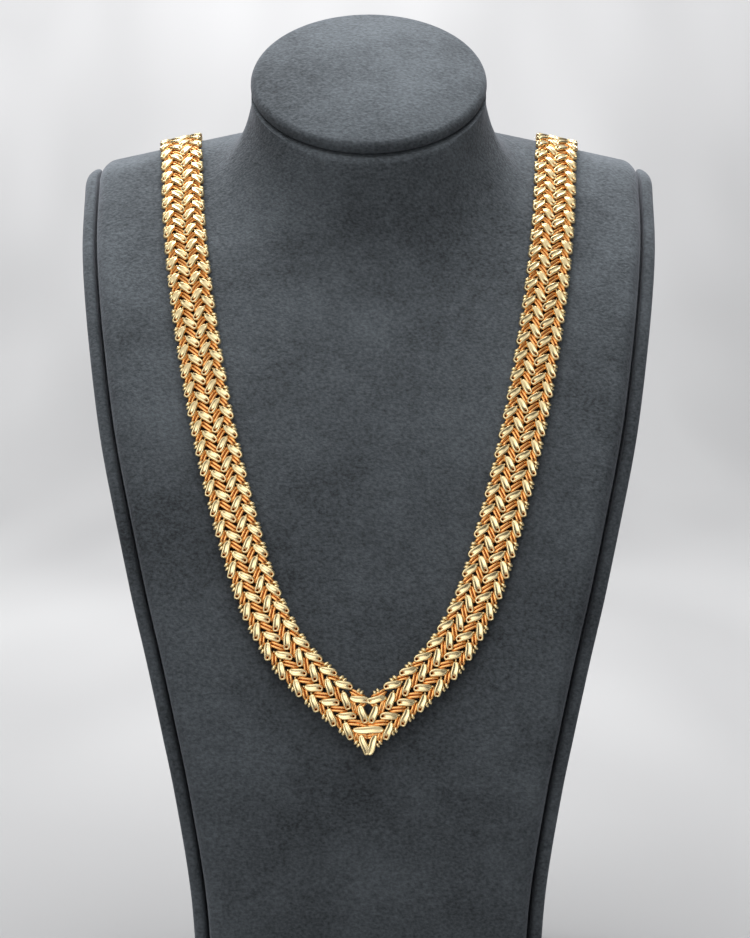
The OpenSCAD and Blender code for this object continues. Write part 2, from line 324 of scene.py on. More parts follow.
def neck_shell():
    """The neck: an upright ellipse whose foot runs into the chest.

    At each angle the fillet is a cubic curve between four points, which weigh as the four terms
    of the cube of w + v, where v is the part gone and w the part to go: the foot out on the
    chest, a point on the chest halfway to the wall, a bend near the wall, and a place up the
    wall. The columns of NECK_FOOT say, from the rear of the neck to its front, how far out the
    foot lies and how far up the wall the fillet ends, and how far up and out the bend lies.
    """
    a = np.linspace(0, 2 * math.pi, 120, endpoint=False)
    rx = NECK_R - SIDE_INSET * NECK_INSET
    ry = NECK_R * math.cos(CAP_TILT) - NECK_INSET
    x = rx * np.cos(a)
    y = NECK_Y + ry * np.sin(a)
    n = unit(np.stack([np.cos(a) / rx, np.sin(a) / ry], -1))
    frontness = (1 - np.sin(a)) / 2
    reach, climb, bend_up, bend_out = (np.interp(frontness, NECK_FOOT[:, 0], v) for v in NECK_FOOT.T[1:])
    rear_limit = LEAN_D - NECK_REAR_SET
    foot_x = x + reach * n[:, 0]
    foot_y = np.minimum(y + reach * n[:, 1], rear_limit)
    under = reach + np.minimum(frontness * 4, 1)
    under_x = x + under * n[:, 0]
    under_y = np.minimum(y + under * n[:, 1], rear_limit)
    foot = np.stack([foot_x, foot_y, skin_height(foot_x, foot_y) + FOOT_LIFT], -1)
    half_x, half_y = (x + foot_x) / 2, (y + foot_y) / 2
    halfway = np.stack([half_x, half_y, skin_height(half_x, half_y) + FOOT_LIFT], -1)
    base = np.stack([x, y, skin_height(x, y)], -1)
    bend = base + np.stack([bend_out * n[:, 0], bend_out * n[:, 1] * (n[:, 1] < 0), bend_up], -1)
    upper = base + np.stack([x * 0, x * 0, climb], -1)
    top = np.stack([x, y, cap_plane(y, -CAP_T - CAP_GAP + NECK_TUCK)], -1)
    hidden = np.stack([under_x, under_y, skin_height(under_x, under_y) - FOOT_SINK], -1)
    root_y = NECK_Y + (y - NECK_Y) * ROOT_SHARE
    sunk = np.stack([x * ROOT_SHARE, root_y, skin_height(x, y) - NECK_ROOT], -1)
    v = np.linspace(0, 1, 17)[:, None, None]
    w = 1 - v
    fillet = w ** 3 * foot + 3 * v * w ** 2 * halfway + 3 * v ** 2 * w * bend + v ** 3 * upper
    v = np.linspace(0, 1, 9)[1:, None, None]
    wall = (1 - v) * upper + v * top
    rings = np.concatenate([sunk[None], hidden[None], fillet, wall])
    rings[..., 1] -= DEPTH_MID
    return closed_rings(rings)


def back_shell():
    """The back body, through level sheets: their front edge follows the padded front's underside,
    then stands upright behind it, and their rear edge follows the profile's roll down the back.
    Near the top they narrow as a quarter circle of SHOULDER_CORNER_R does."""
    wall = LEAN_D - PANEL_T * out_dir(float(CREST))[0] + SEAM_GAP
    roll = spline(PROFILE, np.linspace(CREST + 4, CREST + 0.1, 60))
    t = np.linspace(0, CREST - 0.5, 90)
    q = spline(PROFILE, t)
    n = out_dir(t)
    h = -PANEL_T - SEAM_GAP
    level = q[:, 0] + h * n[:, 1]
    front = q[:, 1] + h * n[:, 0]
    rear = np.interp(level, roll[:, 0], roll[:, 1])
    seam = np.stack([level, front, rear, spline(HALF_WIDTHS, t)[:, 0]], -1)
    t = np.linspace(CREST + 3, CREST + 0.4, 27)
    q = spline(PROFILE, t)
    over = np.clip(q[:, 0] - SHOULDER_H + SHOULDER_CORNER_R, 0, None) / SHOULDER_CORNER_R
    narrow = SHOULDER_CORNER_R * (1 - np.sqrt(1 - over ** 2))
    crown = np.stack([q[:, 0], q[:, 1] * 0 + wall, q[:, 1], HALF_WIDTHS[-1, 0] - narrow], -1)
    sheets = np.concatenate([seam, crown])
    limit = CORNER_SHARE * (sheets[:, 2] - sheets[:, 1])
    fx, fd = rounded_side(sheets[:, 3], np.minimum(STRIP_R, limit), 40)
    bx, bd = rounded_side(sheets[:, 3], np.minimum(REAR_R, limit), 40)
    front = place(fx, sheets[:, 1:2] + fd, sheets[:, :1])
    back = place(bx[:, ::-1], sheets[:, 2:3] - bd[:, ::-1], sheets[:, :1])
    return closed_rings(np.concatenate([front, back], 1))


def strip_shell():
    """The right side strip, up beside the padded front and over the crest.

    Its section is square to the skin: from its root up the groove, over its top and down its
    outer side. The two upper corners are quarter circles, whose radii are shares of its width.
    """
    t = np.linspace(0, STRIP_RUN[-1, 0], 160)
    w = spline(HALF_WIDTHS, np.minimum(t, CREST))[:, :1]
    top = -np.interp(t, *STRIP_RUN.T)[:, None] * PANEL_T
    b = STRIP_W - GROOVE_W
    inner = w - b
    ri, ro = STRIP_INNER_R * b, STRIP_OUTER_R * b
    foot = w * 0 - PANEL_T - SEAM_GAP
    up = np.linspace(0, math.pi / 2, 7)[None]
    down = np.linspace(math.pi / 2, 0, 8)[None]
    x = np.concatenate([inner, inner + ri * (1 - np.cos(up)), w - ro * (1 - np.cos(down)), w, w - ro], 1)
    h = np.concatenate([
        foot - STRIP_ROOT, top - ri * (1 - np.sin(up)), top - ro * (1 - np.sin(down)),
        foot, foot - STRIP_ROOT,
    ], 1)
    return closed_rings(skin(x, t[:, None], h))


def turned(profile, steps):
    """Points (k, steps, 3) of a profile of radius and height, turned round the Z axis."""
    a = np.linspace(0, 2 * math.pi, steps, endpoint=False)
    r = profile[:, :1]
    return np.stack([r * np.cos(a), r * np.sin(a), profile[:, 1:] + 0 * r * a], -1)


def cap_shell():
    """The cap: a disc whose rim is an arc of CAP_EDGE_R, up to where it has the slope of the dome
    that it meets. The dome falls from its middle by CAP_DOME times the power DOME_POWER of the
    radius' share. The lower edge is a quarter circle of CAP_FOOT_R."""
    slope = math.atan(DOME_POWER * CAP_DOME / (NECK_R - CAP_EDGE_R))
    a = np.linspace(0, math.pi / 2, 9)[:, None]
    under = np.array([[0.02, -CAP_T], [NECK_R * 0.5, -CAP_T], [NECK_R - 3, -CAP_T]])
    low_r = NECK_R - CAP_FOOT_R + CAP_FOOT_R * np.sin(a)
    low = np.concatenate([low_r, -CAP_T + CAP_FOOT_R * (1 - np.cos(a))], 1)
    a = np.linspace(0, math.pi / 2 - slope, 9)[:, None]
    rim = np.concatenate([NECK_R - CAP_EDGE_R * (1 - np.cos(a)), -CAP_EDGE_R * (1 - np.sin(a))], 1)
    f = np.linspace(1, 0.001, 30)[1:, None]
    dome = np.concatenate([rim[-1, 0] * f, rim[-1, 1] + CAP_DOME * (1 - f ** DOME_POWER)], 1)
    rings = turned(np.concatenate([under, low, rim, dome]), 96)
    c, s = math.cos(CAP_TILT), math.sin(CAP_TILT)
    x, y, z = rings[..., 0], rings[..., 1], rings[..., 2]
    rings = np.stack([x, y * c - z * s + NECK_Y - DEPTH_MID, y * s + z * c + CAP_H], -1)
    return closed_rings(rings)


# The chain

# The route of one half of the chain in fine steps: the place in CHAIN_ROUTE here, and below the
# point and the length from the chain's point
ROUTE_ROWS = len(CHAIN_ROUTE) - 1
ROUTE_STEPS = 100
ROUTE_U = np.linspace(0, ROUTE_ROWS, ROUTE_ROWS * ROUTE_STEPS + 1)


def route_rows(u):
    """Distance from the middle in millimetres and place along both profiles, at u on the route."""
    r = spline(CHAIN_ROUTE, u)
    return r[..., 1] * BUST_W / 2, r[..., 0]


def route_point(u):
    """Point of the band's middle line at u, CHAIN_GAP over the skin."""
    x, t = route_rows(u)
    return skin(x, t, CHAIN_GAP)


ROUTE_POINTS = route_point(ROUTE_U)
ROUTE_S = np.concatenate([[0], np.cumsum(np.linalg.norm(np.diff(ROUTE_POINTS, axis=0), axis=1))])
HALF_LENGTH = ROUTE_S[-1]
BAND_END = HALF_LENGTH - CLASP_L / 2 - CLASP_GAP
LINK_ROWS = round(BAND_END / LINK_PITCH)
PITCH = BAND_END / LINK_ROWS
# How the band's directions are taken: a step in mm across the skin and in rows up it, and the
# length in mm that is looked ahead and behind on the route
SKIN_STEP = 0.05
ROUTE_REACH = 0.8


def band_frames(s):
    """Place, direction along, sideways to the outer edge, and up of the band at lengths s.

    Along runs from a place behind to one ahead. Up is square to two short steps on the skin, one
    across and one up it, and sideways is square to both. Short of the point, where s is less than
    nothing, the band runs straight on.
    """
    s = np.asarray(s, float)
    on = np.maximum(s, 0)
    u = np.interp(on, ROUTE_S, ROUTE_U)
    x, t = route_rows(u)
    e = SKIN_STEP
    up = unit(np.cross(skin(x + e, t, 0) - skin(x - e, t, 0), skin(x, t + e, 0) - skin(x, t - e, 0)))
    ahead = route_point(np.interp(on + ROUTE_REACH, ROUTE_S, ROUTE_U))
    behind = route_point(np.interp(np.maximum(on - ROUTE_REACH, 0), ROUTE_S, ROUTE_U))
    along = unit(ahead - behind)
    side = np.cross(along, up)
    origin = route_point(u) + (s - on)[..., None] * along
    return origin, along, side, up


# A link's outline: power of its round ends, how far it is wider below, sideways sway in mm, and
# the share of an inset by which its ends move in
LEAF_POWER = 0.66
LEAF_TAPER = 0.08
LEAF_SWAY = 0.14
LEAF_END_INSET = 0.8

# How a link's outline steps inwards, in mm for a half width of STEP_WIDTH: inset, height below its
# top, tone (low on the skirt and flanks for painted shade under the rim), depth of the eye, rise of the lip
# at the lower end
STEP_WIDTH = 1.2
LINK_STEPS = np.array([
    (0.25, -1.40, 0.10, 0.00, 0.00), (0.02, -0.90, 0.40, 0.00, 0.00), (0.00, -0.50, 0.70, 0.00, 0.00),
    (0.10, -0.18, 0.95, 0.00, 0.08), (0.30, 0.00, 1.00, 0.00, 0.08), (0.50, 0.00, 1.00, 0.00, 0.08),
    (0.68, -0.05, 0.95, 0.12, 0.00), (0.88, -0.12, 0.90, 0.42, 0.00), (1.08, -0.15, 0.90, 0.60, 0.00),
])

# The eye's place and length as shares of the half length, how much darker its painted shade gets for
# each mm of depth, and how far the lower and the upper end bow down in mm
EYE_AT = 0.69
EYE_LENGTH = 0.15
EYE_SHADE = 3.4
LOWER_BOW = 0.42
UPPER_BOW = 0.80


def leaf(length, width, inset, around):
    """Points of a link's outline, moved in by inset, its long axis along the first coordinate.

    The outline is a superellipse: the cosine and the sine of each angle, to the power of
    LEAF_POWER with their signs kept, times the half length and the half width, which both shrink
    with the inset. Its width grows evenly towards the lower end, where x is positive, and its
    middle line sways aside as one sine wave.
    """
    a = (np.arange(around) + 0.5) * 2 * math.pi / around
    c, d = np.cos(a), np.sin(a)
    half = length / 2 - LEAF_END_INSET * inset
    x = half * np.sign(c) * np.abs(c) ** LEAF_POWER
    y = (width / 2 - inset) * np.sign(d) * np.abs(d) ** LEAF_POWER
    return x, y * (1 + LEAF_TAPER * x / half) + LEAF_SWAY * np.sin(math.pi * x / half)


def link_shape(length, width, eye_depth=1.0, around=16):
    """One link: its outline steps in from the skirt over a raised rim to a shallow trough along
    the middle, which a bell curve deepens at the lower end, the link's eye.

    The rim's lower end rises with the cube of the way there. Both ends bow down with the square
    of that way, more at the upper end, which dips under its neighbour.
    Returns points (n, 3) as along the link, across and height from the link's top, its faces
    and a tone for each point, from 0 in the depths, where shade is painted dark, to 1 on the rim.
    """
    inset, level, tone, depth, rise = LINK_STEPS.T[..., None]
    rings = [leaf(length, width, v * (width / 2) / STEP_WIDTH, around) for v in inset[:, 0]]
    x, y = np.stack(rings, 1)
    along = x / (length / 2)
    eye = np.exp(-((along - EYE_AT) / EYE_LENGTH) ** 2) * eye_depth
    bow = np.where(along > 0, LOWER_BOW, UPPER_BOW) * along ** 2
    z = level - depth * eye + rise * np.clip(along, 0, 1) ** 3 - bow
    points = np.stack([x, y, z], -1)
    # Painted shade: the tone falls where the eye is deep, so the eye is painted near black
    shade_tones = tone - depth * EYE_SHADE * eye
    k = len(points)
    faces = np.concatenate([ring_quads(k, around), trough_quads((k - 1) * around, around)])
    return points.reshape(-1, 3), faces, np.clip(shade_tones, 0, 1).reshape(-1)


def trough_quads(start, n):
    """Faces that close a link's last ring, along its middle."""
    i = np.arange(n // 2 - 1)
    return start + np.stack([i, i + 1, n - 2 - i, n - 1 - i], -1)


def placed(shape, base, one, other, up, angle):
    """Copies of a shape at the points base (k, 3), with its long axis turned by angle (k, 1) from
    the direction one towards the direction other, and its height along up."""
    points, faces, tone = shape
    long_axis = one * np.cos(angle) + other * np.sin(angle)
    cross_axis = -one * np.sin(angle) + other * np.cos(angle)
    made = (
        base[:, None]
        + points[None, :, :1] * long_axis[:, None]
        + points[None, :, 1:2] * cross_axis[:, None]
        + points[None, :, 2:] * up[..., None, :]
    )
    k, n = len(base), len(points)
    all_faces = (faces[None] + (np.arange(k) * n)[:, None, None]).reshape(-1, 4)
    return made.reshape(-1, 3), all_faces, np.tile(tone, k)


def copies(shape, s, u, angle, top):
    """Copies of a shape on the right arm of the band.

    s, u and angle (k,) give each copy's place and its lower end's direction, from along the band
    to sideways; top is the height of its top above the band's underside.
    """
    origin, along, side, up = band_frames(s)
    return placed(shape, origin + side * u[:, None] + up * top, along, side, up, angle[:, None])


def point_copies(shape, x, z, angle, top):
    """Copies of a shape round the band's point, on its plane: x to the right and z up it, in
    millimetres from the point's middle; angle is the lower end's direction from the x axis."""
    origin, _, _, up = (v[0] for v in band_frames(np.zeros(1)))
    right = np.array([1.0, 0.0, 0.0])
    high = unit(np.cross(up, right))
    base = origin + right * x[:, None] + high * z[:, None] + up * top
    return placed(shape, base, right, high, up, angle[:, None])


# For each column from the outer edge in: distance from the band's middle, length at which its
# first whole link lies, side to which its lower ends lean, lean near the point and up the arms
COLUMN_U = (4.8, 1.6, -1.6, -4.8)
COLUMN_START = (3.3, 6.2, 2.9, 12.5)
COLUMN_SIGN = (1, -1, 1, -1)
COLUMN_LEAN_NEAR = (34.0, 34.0, 35.0, 21.0)
COLUMN_LEAN_FAR = (35.5, 41.0, 42.0, 34.0)
LEAN_RUN = (10, 70)
COLUMN_SAG = 0.5
SAG_LENGTH = 22
END_MARGIN = 2.4

# Sizes in mm: how far the wires between a column's links reach from their middle, to the lower and
# to the upper end, how far they dip at a reach of WIRE_REACH, lie apart and lie below the links
WIRE_ENDS = ((1.2, 2.9), (2.9, 2.9), (2.9, 2.9), (1.2, 2.9))
WIRE_REACH = 2.9
WIRE_DIP = 0.55
WIRE_OFFSETS = (-0.49, 0.49)
WIRE_DEPTH = 1.2
# Closing circles: a wire's as a share of its radius, a knob's place as a share of its half length
WIRE_TIP = 0.35
KNOB_TIP = 0.97

# Rounded wire ends in mm: length and width, and their depth below the links' top
DOT_SIZE = (0.75, 0.62)
DOT_DEPTH = 0.85
KNOB_SIZE = (2.1, 1.15)
KNOB_DEPTH = 1.25
KNOB_SHIFTS = (0.75, 1.95)
KNOB_OUT = 1.15
KNOB_LEAN = 0.35

# The point's own pieces in mm: length, width and depth of the eye of its links, length and width of
# its knobs, and half length, dip and radius of its wires
BAR_SIZE = (9.2, 2.3, 0.0)
WING_SIZE = (6.2, 2.2, 0.4)
TIP_SIZE = (6.4, 2.3, 0.0)
POINT_KNOB_SIZE = (1.8, 1.0)
POINT_WIRE_HALF = 2.6
POINT_WIRE_DIP = 0.3
POINT_WIRE_R = 0.45
# Their places: right of the point's middle and up in mm, direction in degrees
POINT_BAR = [(0, -1.8, 0)]
POINT_WINGS = [(2.45, 7.0, 190)]
POINT_TIPS = [(1.2, -6.1, -109.5)]
POINT_KNOBS = [(2.8, -6.2, -50), (3.5, -5.4, -50), (2.0, 8.9, 130), (2.9, 9.5, 130)]
POINT_WIRES = [
    (1.6, 0.35, 8), (1.8, -0.45, 8), (1.5, -3.2, 8), (1.7, -3.9, 8), (2.1, 4.6, -40), (2.9, 4.9, -40),
    (4.4, 6.4, -100), (3.5, -3.4, -80), (2.9, 8.9, 27), (3.4, 8.2, 27),
]


def column_places(c, shift=0.0, first=0):
    """Lengths along the band of one column's links, or of what lies shift after each of them."""
    s = COLUMN_START[c] + shift + PITCH * np.arange(first, LINK_ROWS)
    return s[s < BAND_END - END_MARGIN]


def column_u(c, s):
    """Distance of column c from the band's middle at lengths s; near the point the links sag
    outwards, by COLUMN_SAG and a bell curve of SAG_LENGTH."""
    return COLUMN_U[c] + COLUMN_SAG * np.exp(-(s / SAG_LENGTH) ** 2)


def lower_angle(c, s):
    """Direction of the links' lower ends in column c: back along the band and out or in."""
    lean = np.interp(s, LEAN_RUN, [COLUMN_LEAN_NEAR[c], COLUMN_LEAN_FAR[c]])
    return math.pi - COLUMN_SIGN[c] * np.radians(lean)


def wire_path(low, high, dip, reach):
    """Path of a wire from -high to low: it dips by dip and the cube of its share of the reach."""
    x = np.linspace(-high, low, 7)
    return np.stack([x, 0 * x, -dip * np.abs(x / reach) ** 3], -1)


def tube_shape(path, radius, sides=6):
    """A wire along a path (k, 3) that keeps to one plane: circles square to the path, of which the
    first and the last are smaller and are closed."""
    k = len(path)
    a = np.arange(sides) * 2 * math.pi / sides
    d = unit(np.gradient(path, axis=0))
    across = np.array([0.0, 1.0, 0.0])
    up = unit(np.cross(d, across))
    shrink = np.ones(k)
    shrink[[0, -1]] = WIRE_TIP
    ring = across * np.cos(a)[None, :, None] + up[:, None] * np.sin(a)[None, :, None]
    points = path[:, None] + ring * (radius * shrink)[:, None, None]
    # The wires' tone of 0.5 paints them in the deeper orange of shade and warm reflection
    return points.reshape(-1, 3), tube_faces(k, sides), np.full(k * sides, 0.5)


def knob_shape(length, width, rings=6, around=8):
    """A rounded wire end: a ball stretched along its first coordinate, with small end rings."""
    v = np.linspace(-KNOB_TIP, KNOB_TIP, rings)
    a = np.arange(around) * 2 * math.pi / around
    r = np.sqrt(1 - v ** 2)
    points = np.stack([
        v[:, None] * length / 2 + 0 * a,
        r[:, None] * np.cos(a) * width / 2,
        r[:, None] * np.sin(a) * width / 2,
    ], -1)
    return points.reshape(-1, 3), tube_faces(rings, around), np.full(rings * around, 0.9)


def one_mesh(parts):
    """Points, faces and tones of all the parts, each turned outward."""
    points, faces = joined([(p, outward_copies(p, f, n)) for p, f, _, n in parts])
    return points, faces, np.concatenate([tone for _, _, tone, _ in parts])


def both_arms(parts):
    """The right arm's parts in one mesh with their mirror image."""
    points, faces, tone = one_mesh(parts)
    return (*mirrored(points, faces), np.tile(tone, 2))


def outward_copies(points, faces, per_copy):
    """The faces of many like copies, turned if the first copy's would look inward."""
    first = faces[:per_copy]
    centre = points[np.unique(first)].mean(0)
    same = np.array_equal(outward(points - centre, first), first)
    return faces if same else faces[:, ::-1]


def both_sides(places):
    """Places and directions in degrees on the right of the point, and their mirror image."""
    return places + [(-x, z, 180 - angle) for x, z, angle in places]


def part(shape, made):
    """What one_mesh() takes: the copies' points, faces and tones, and how many faces one has."""
    return (*made, len(shape[1]))


def clasp_shell(around=48):
    """The clasp: a box with corners of CLASP_CORNER_R and edges rounded by quarter circles of
    CLASP_EDGE_R, with a shallow groove round its outer face."""
    r = CLASP_CORNER_R
    edge = CLASP_EDGE_R
    a = (np.arange(around) + 0.5) * 2 * math.pi / around
    d = np.stack([np.cos(a), np.sin(a)], -1)
    corner = np.sign(d) * [CLASP_L / 2 - r, CLASP_W / 2 - r]
    t = CHAIN_T / 2
    b = np.linspace(0, math.pi / 2, 5)
    low = [(edge * (1 - math.sin(v)), -t + edge * (1 - math.cos(v))) for v in b]
    high = [(edge * (1 - math.cos(v)), t - edge * (1 - math.sin(v))) for v in b]
    groove = [(inset, t + h) for inset, h in CLASP_GROOVE]
    rings = []
    for inset, h in low + high + groove:
        p = corner + d * r - d * inset
        rings.append(np.stack([p[:, 0], np.full(around, h), p[:, 1]], -1))
    centre = band_frames(np.array([HALF_LENGTH]))[0][0]
    return closed_rings(np.stack(rings) + [0.0, centre[1] + t, centre[2]])


# Materials


class Nodes:
    """A short way to add nodes to a tree and join them."""

    def __init__(self, tree):
        self.tree = tree

    def feed(self, node, inputs):
        """Joins each named input of a node to a socket, or sets it to a value."""
        for key, value in inputs.items():
            if isinstance(value, bpy.types.NodeSocket):
                self.tree.links.new(value, node.inputs[key])
            else:
                node.inputs[key].default_value = value
        return node

    def add(self, kind, inputs=None, **settings):
        """Adds a node with its settings and inputs."""
        node = self.tree.nodes.new(kind)
        for key, value in settings.items():
            setattr(node, key, value)
        return self.feed(node, inputs or {})

    def ramp(self, value, stops):
        """Colour that runs evenly between the stops, each a place and a colour."""
        node = self.add("ShaderNodeValToRGB", {"Fac": value})
        elements = node.color_ramp.elements
        while len(elements) < len(stops):
            elements.new(0.5)
        for element, (at, colour) in zip(elements, stops):
            element.position = at
            element.color = (*colour, 1)
        return node.outputs["Color"]

    def mix(self, fac, a, b, blend="MIX"):
        """Two colours mixed, or blended in another way, by the factor."""
        inputs = {0: fac, 6: a, 7: b}
        return self.add("ShaderNodeMix", inputs, data_type="RGBA", blend_type=blend).outputs[2]

    def math(self, operation, a, b):
        """Two numbers added or multiplied."""
        return self.add("ShaderNodeMath", {0: a, 1: b}, operation=operation).outputs[0]

    def noise(self, at, scale, detail, roughness=0.5):
        """Noise from 0 to 1 at a point, its scale counted in waves to the metre."""
        inputs = {"Vector": at, "Scale": scale, "Detail": detail, "Roughness": roughness}
        return self.add("ShaderNodeTexNoise", inputs).outputs["Fac"]


def grey(v):
    """A colour without hue."""
    return (v, v, v)


def nap_group():
    """Shared nap of the suede: a mottle from 0 to 1 and a normal, from noise on object coordinates."""
    tree = bpy.data.node_groups.new("suede_nap", "ShaderNodeTree")
    for name, kind in (("Mottle", "NodeSocketFloat"), ("Normal", "NodeSocketVector")):
        tree.interface.new_socket(name, in_out="OUTPUT", socket_type=kind)
    n = Nodes(tree)
    at = n.add("ShaderNodeTexCoord").outputs["Object"]
    stretched = n.add("ShaderNodeMapping", {"Vector": at, "Scale": (0.8, 1.0, 1.05)}).outputs[0]
    broad = n.noise(at, scale=30.0, detail=4.0, roughness=0.62)
    patch = n.noise(stretched, scale=260.0, detail=4.0, roughness=0.7)
    fine = n.noise(stretched, scale=1150.0, detail=2.0, roughness=0.6)
    shares = [n.math("MULTIPLY", v, share) for v, share in ((broad, 0.42), (patch, 0.12), (fine, 0.46))]
    mottle = n.math("ADD", n.math("ADD", shares[0], shares[1]), shares[2])
    height = n.math("ADD", n.math("MULTIPLY", patch, 0.5), fine)
    bump = n.add("ShaderNodeBump", {"Height": height, "Strength": 0.45, "Distance": 0.0005})
    n.add("NodeGroupOutput", {"Mottle": mottle, "Normal": bump.outputs["Normal"]})
    return tree


def new_material(name):
    """A new material, a way to add nodes to it, and its shader."""
    material = bpy.data.materials.new(name)
    material.use_nodes = True
    tree = material.node_tree
    return material, Nodes(tree), tree.nodes["Principled BSDF"]


# The nap's darkest and lightest tone as shares of the suede's colour, and how far the gold's
# roughness runs up and down in all
NAP_TONES = (0.45, 1.6)
GOLD_CLOUD = 0.10


def suede_material(settings):
    """Slate suede: mottled nap, no shine, and a soft sheen at glancing light."""
    material = bpy.data.materials.get("napped_suede")
    if material:
        return material
    material, n, shader = new_material("napped_suede")
    nap = n.add("ShaderNodeGroup", node_tree=nap_group())
    dark, light = (tuple(min(1.0, c * share) for c in settings.suede_colour) for share in NAP_TONES)
    colour = n.ramp(nap.outputs["Mottle"], [(0.35, dark), (0.65, light)])
    n.feed(shader, {
        "Base Color": colour,
        "Normal": nap.outputs["Normal"],
        "Roughness": 0.95,
        "Specular IOR Level": 0.15,
        "Sheen Weight": settings.suede_sheen,
        "Sheen Roughness": 0.45,
        "Sheen Tint": (0.82, 0.85, 0.95, 1),
    })
    return material


def gold_material(settings):
    """Polished gold with painted shade: deeper, redder and at last near black where the tone attribute is
    low.
    """
    material = bpy.data.materials.get("woven_gold")
    if material:
        return material
    material, n, shader = new_material("woven_gold")
    tone = n.add("ShaderNodeAttribute", attribute_name="tone").outputs["Fac"]
    at = n.add("ShaderNodeTexCoord").outputs["Object"]
    cloud = n.noise(at, scale=260.0, detail=2.0)
    # Painted shade and warm reflection: near black and dark brown in the eyes and under the rims, a deeper
    # orange on the flanks and wires, gold on the rims
    colour = n.ramp(tone, [
        (0.0, (0.04, 0.012, 0.004)),
        (0.22, (0.17, 0.055, 0.015)),
        (0.45, settings.shaded_gold_colour),
        (0.82, settings.gold_colour),
    ])
    rough = n.math("ADD", n.math("MULTIPLY", cloud, GOLD_CLOUD), settings.gold_roughness - GOLD_CLOUD / 2)
    n.feed(shader, {"Base Color": colour, "Roughness": rough, "Metallic": 1.0})
    return material


def cloth_material(settings):
    """Pale cloth of the stage, with painted light: darker on the floor and lighter up the wall, where more
    light falls, and with the painted shade of broad soft folds.
    """
    material, n, shader = new_material("stage_cloth")
    at = n.add("ShaderNodeTexCoord").outputs["Object"]
    height = n.add("ShaderNodeSeparateXYZ", {"Vector": at}).outputs["Z"]
    # Painted light: one cloth, painted from a darker colour on the floor to a lighter one up the wall
    up = n.add("ShaderNodeMapRange", {"Value": height, "From Min": -0.1, "From Max": 0.6})
    # Painted shade of broad soft folds, which the smooth backdrop doesn't have
    turn = {"Vector": at, "Rotation": (0.3, 0.5, 0.2), "Scale": (2.2, 0.8, 0.9)}
    fold_shade_mask = n.noise(n.add("ShaderNodeMapping", turn).outputs[0], scale=2.6, detail=1.0)
    shade = n.ramp(fold_shade_mask, [(0.35, grey(0.86)), (0.65, grey(1.0))])
    colour = n.mix(up.outputs[0], (*settings.floor_shaded_colour, 1), (*settings.wall_lit_colour, 1))
    fold_shaded = n.mix(1.0, colour, shade, "MULTIPLY")
    n.feed(shader, {"Base Color": fold_shaded, "Roughness": 0.85, "Specular IOR Level": 0.2})
    return material


def finish_piece(made, material, node):
    """Gives a piece its material, ties it to the one body and hides the imported part it stands for."""
    made.data.materials.append(material)
    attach(made, "root")
    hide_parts(node)


# Stage

# Lights that bear their settings' names, in metres: place, target, size, seen in the gold
LIGHTS = (
    ("top_light", (-0.1, 0.0, 1.30), (0.0, 0.0, 0.2), 1.1, False),
    ("front_light", (-0.45, -1.5, 0.85), (0.0, 0.0, 0.18), 0.8, True),
    ("rear_light", (-0.05, 0.7, 1.10), (0.0, 0.0, 0.28), 0.9, False),
    ("wall_light", (-0.3, 0.8, 1.65), (0.1, 2.0, 0.45), 1.2, True),
)
# Cards that only the gold mirrors, in metres: place, target, size, share of the cards' brightness
CARDS = (
    ("front_card", (-0.35, -1.2, 0.75), (0.0, 0.0, 0.2), 1.6, 1.1),
    ("top_card", (0.0, 0.1, 1.5), (0.0, 0.0, 0.2), 2.2, 0.65),
)
# The backdrop in metres: its front edge, where its curve starts, the curve's length, its top edge
# and half its width
FLOOR_FRONT = -2.5
CURVE_START = 0.9
CURVE_LENGTH = 2.2
WALL_TOP = 3.0
FLOOR_HALF = 3.0


def make_backdrop(settings, steps=48):
    """A floor that curves up into a wall. Along the curve its slope rises from level to upright as
    a smooth step, three times the square less twice the cube of the part gone, so that no band
    shows where it starts."""
    v = (np.arange(steps) + 0.5) / steps
    slope = math.pi / 2 * (3 * v ** 2 - 2 * v ** 3)
    curve_y = np.cumsum(np.cos(slope)) * CURVE_LENGTH / steps
    curve_z = np.cumsum(np.sin(slope)) * CURVE_LENGTH / steps
    y = CURVE_START + np.concatenate([[FLOOR_FRONT - CURVE_START, 0], curve_y, curve_y[-1:]])
    z = np.concatenate([[0, 0], curve_z, [WALL_TOP]])
    x = np.linspace(-FLOOR_HALF, FLOOR_HALF, 3)
    points = np.stack([x[None] + 0 * y[:, None], y[:, None] + 0 * x, z[:, None] + 0 * x], -1) / MM
    k, i = np.meshgrid(np.arange(len(y) - 1), np.arange(2), indexing="ij")
    corner = k * 3 + i
    faces = np.stack([corner, corner + 1, corner + 4, corner + 3], -1).reshape(-1, 4)
    made = make_object("floor", points.reshape(-1, 3), faces)
    made.data.materials.append(cloth_material(settings))
    return made


def add_area(name, at, target, size, power):
    """A square area light at a place in metres, turned to a target."""
    light = bpy.data.lights.new(name, "AREA")
    light.shape = "SQUARE"
    light.size = size
    light.energy = power
    made = bpy.data.objects.new(name, light)
    made.location = at
    made.rotation_euler = (Vector(target) - Vector(at)).to_track_quat("-Z", "Y").to_euler()
    bpy.context.scene.collection.objects.link(made)
    return made


def add_camera(scene):
    """The photograph's camera: straight in front of the chest, looking slightly down."""
    data = bpy.data.cameras.new("camera")
    data.sensor_width = 36.0
    data.lens = 80.6
    data.clip_start = 0.01
    data.clip_end = 20.0
    camera = bpy.data.objects.new("camera", data)
    camera.location = (0.002, -0.6639, 0.2267)
    camera.rotation_euler = (math.radians(85.0), 0.0, 0.0)
    scene.collection.objects.link(camera)
    scene.camera = camera


# Settings


class BustSettings(bpy.types.PropertyGroup):
    """The bust's cover"""
    suede_colour: FloatVectorProperty(
        name="Suede colour", description="Middle colour of the suede cover", subtype="COLOR",
        size=3, min=0, max=1, default=(0.077, 0.087, 0.096))
    suede_sheen: FloatProperty(
        name="Sheen", description="Strength of the suede's soft sheen at glancing light", subtype="FACTOR",
        min=0, max=1, default=0.20)


